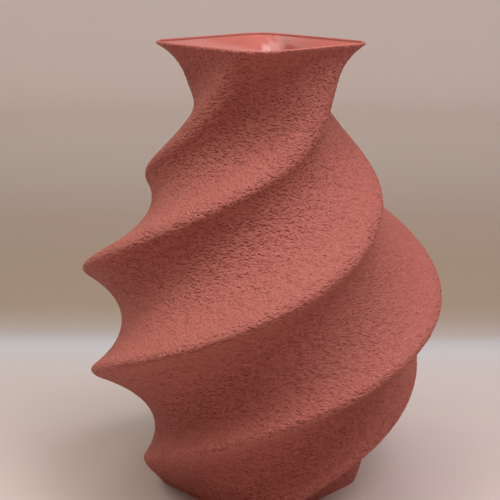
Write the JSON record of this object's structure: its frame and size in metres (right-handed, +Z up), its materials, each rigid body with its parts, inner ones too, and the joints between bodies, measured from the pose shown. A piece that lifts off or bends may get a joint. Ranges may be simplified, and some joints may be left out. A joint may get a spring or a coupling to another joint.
{
  "type": "vase",
  "caption": "Hollow square vase with rounded corners, twisted one full turn into climbing ribs, with a round belly, a narrow neck and a flared open mouth.",
  "frame": {"origin": "centre of the foot's underside, on the surface the vase stands on", "axes": "+Z up along the vase's axis towards the mouth; -Y towards one corner of the square foot and of the square rim; +X to the right as seen from -Y"},
  "size_m": [0.1891, 0.1891, 0.24],
  "materials": {
    "printed_plastic": "terracotta red, rough wrinkled skin outside, smooth and slightly glossy inside"
  },
  "bodies": {
    "root": {"vase": "printed_plastic"}
  },
  "joints": []
}
